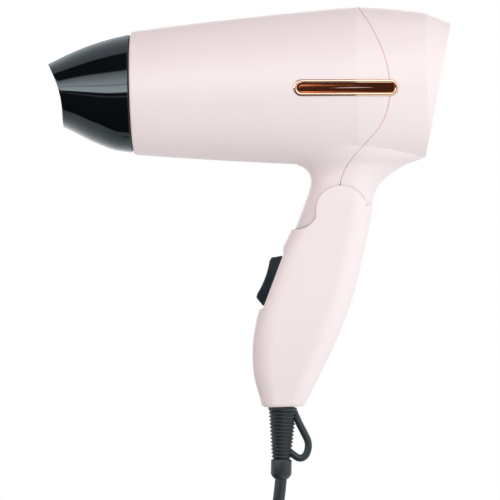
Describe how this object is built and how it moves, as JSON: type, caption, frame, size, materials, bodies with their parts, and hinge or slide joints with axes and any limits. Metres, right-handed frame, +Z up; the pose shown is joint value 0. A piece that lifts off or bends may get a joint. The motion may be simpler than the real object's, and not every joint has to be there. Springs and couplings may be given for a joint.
{
  "type": "folding hair dryer",
  "caption": "Compact hair dryer with a folding handle, tapered barrel, slanted air inlet, concentrator nozzle, rocker switch, ribbed strain relief with hang loop and coiled cord.",
  "frame": {"origin": "centre of the hand grip", "axes": "+X towards the air inlet along the barrel, +Z up, so the nozzle points to -X and +Y is the side away from the picture's viewer"},
  "size_m": [0.224, 0.1127, 0.3048],
  "materials": {
    "shell_pink": "satin pale pink moulded plastic",
    "trim_rose_gold": "rose-gold plated strip",
    "nozzle_black": "glossy black moulded plastic",
    "dark_plastic": "fine matte black plastic",
    "white_plastic": "plain off-white heat-resistant plastic",
    "rubber_black": "matte charcoal soft plastic",
    "steel": "plain steel",
    "mica": "pale layered mica sheet",
    "brown_plastic": "dark brown phenolic plastic",
    "green_board": "green lacquered circuit board",
    "brass": "bright brass",
    "wire_white": "white sleeved wire"
  },
  "bodies": {
    "handle": {"handle_left_shell": "shell_pink", "handle_right_shell": "shell_pink", "handle_screws": "steel", "hinge_pivots": "steel", "switch_case": "dark_plastic", "switch_terminals": "brass", "strain_relief": "rubber_black", "cord_inner_tail": "rubber_black", "cord_clamp": "dark_plastic", "clamp_screws": "steel", "handle_leads": "wire_white", "power_cord": "rubber_black", "cord_coil": "rubber_black", "cord_tie": "rubber_black", "plug_body": "dark_plastic", "plug_pins": "brass"},
    "barrel": {"front_shell": "shell_pink", "rear_shell": "shell_pink", "trim_strip_left": "trim_rose_gold", "trim_strip_right": "trim_rose_gold", "inlet_grille": "dark_plastic", "filter_mesh": "steel", "fan_duct": "white_plastic", "duct_screws": "steel", "motor_can": "steel", "motor_end_cap": "brown_plastic", "rectifier_board": "green_board", "outlet_grille": "dark_plastic", "heat_sleeve": "mica", "mica_board_upright": "mica", "mica_board_flat": "mica", "heater_coil": "steel", "thermostat": "brown_plastic", "thermal_fuse": "steel", "barrel_leads": "wire_white"},
    "rocker": {"rocker_button": "dark_plastic"},
    "fan": {"fan": "white_plastic", "motor_shaft": "steel"},
    "nozzle_mount": {"nozzle_collar": "dark_plastic"},
    "nozzle": {"concentrator_nozzle": "nozzle_black"}
  },
  "joints": [
    {"name": "handle_fold", "type": "hinge", "parent": "handle", "child": "barrel", "pos_m": [0.021, 0, 0.0491], "axis": [0, -1, 0], "range_deg": [0, 65]},
    {"name": "rocker_tilt", "type": "hinge", "parent": "handle", "child": "rocker", "pos_m": [-0.0106, 0, 0.01173], "axis": [0, 1, 0], "range_deg": [-7.5, 7.5]},
    {"name": "fan_spin", "type": "hinge", "parent": "barrel", "child": "fan", "pos_m": [0.05, 0, 0.1135], "axis": [1, 0, 0], "continuous": true},
    {"name": "nozzle_slide", "type": "slide", "parent": "barrel", "child": "nozzle_mount", "axis": [-1, 0, 0], "range_m": [0, 0.03]},
    {"name": "nozzle_turn", "type": "hinge", "parent": "nozzle_mount", "child": "nozzle", "pos_m": [-0.095, 0, 0.1135], "axis": [1, 0, 0], "continuous": true}
  ]
}
